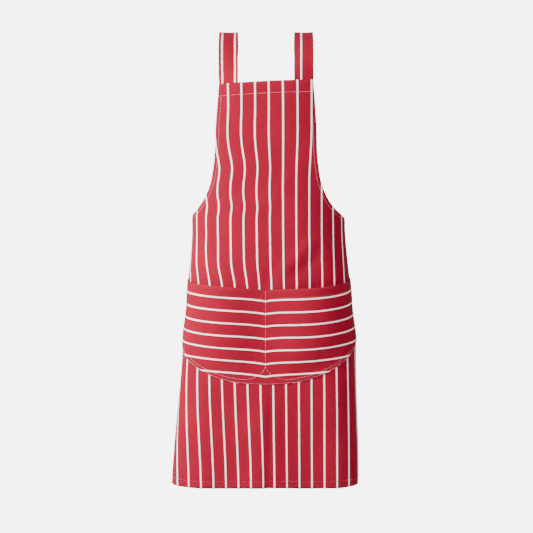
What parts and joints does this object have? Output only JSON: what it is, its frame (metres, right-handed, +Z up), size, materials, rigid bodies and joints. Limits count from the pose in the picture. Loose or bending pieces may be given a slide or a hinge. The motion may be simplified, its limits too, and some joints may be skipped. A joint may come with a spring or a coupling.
{
  "type": "butcher apron",
  "caption": "Full-length striped bib apron with a wide cross-grain pocket stitched into two bags and shoulder straps crossed at the back.",
  "frame": {"origin": "midway between the two places where the shoulder straps rest on the wearer's shoulders", "axes": "+Z up along the wearer, -Y out of the apron's front, +X to the right as seen from the front"},
  "size_m": [0.4656, 0.2299, 1.089],
  "materials": {
    "body_twill": "cotton twill, woven pinstripe",
    "pocket_twill": "cotton twill, woven pinstripe laid crosswise",
    "strap_twill": "cotton twill, folded double",
    "pale_thread": "spun polyester thread",
    "red_thread": "spun polyester thread"
  },
  "bodies": {
    "root": {"body_panel": "body_twill", "bib_top_hem": "body_twill", "left_armhole_hem": "body_twill", "right_armhole_hem": "body_twill", "left_side_hem": "body_twill", "right_side_hem": "body_twill", "bottom_hem": "body_twill", "pocket_panel": "pocket_twill", "pocket_mouth_hem": "pocket_twill", "pocket_turning": "pocket_twill", "left_shoulder_strap": "strap_twill", "right_shoulder_strap": "strap_twill", "bib_hem_stitching": "pale_thread", "armhole_stitching": "pale_thread", "side_hem_stitching": "red_thread", "bottom_hem_stitching": "red_thread", "pocket_mouth_stitching": "red_thread", "pocket_edge_stitching": "pale_thread", "pocket_bag_stitching": "pale_thread", "pocket_centre_stitching": "pale_thread", "strap_end_stitching": "red_thread"}
  },
  "joints": []
}
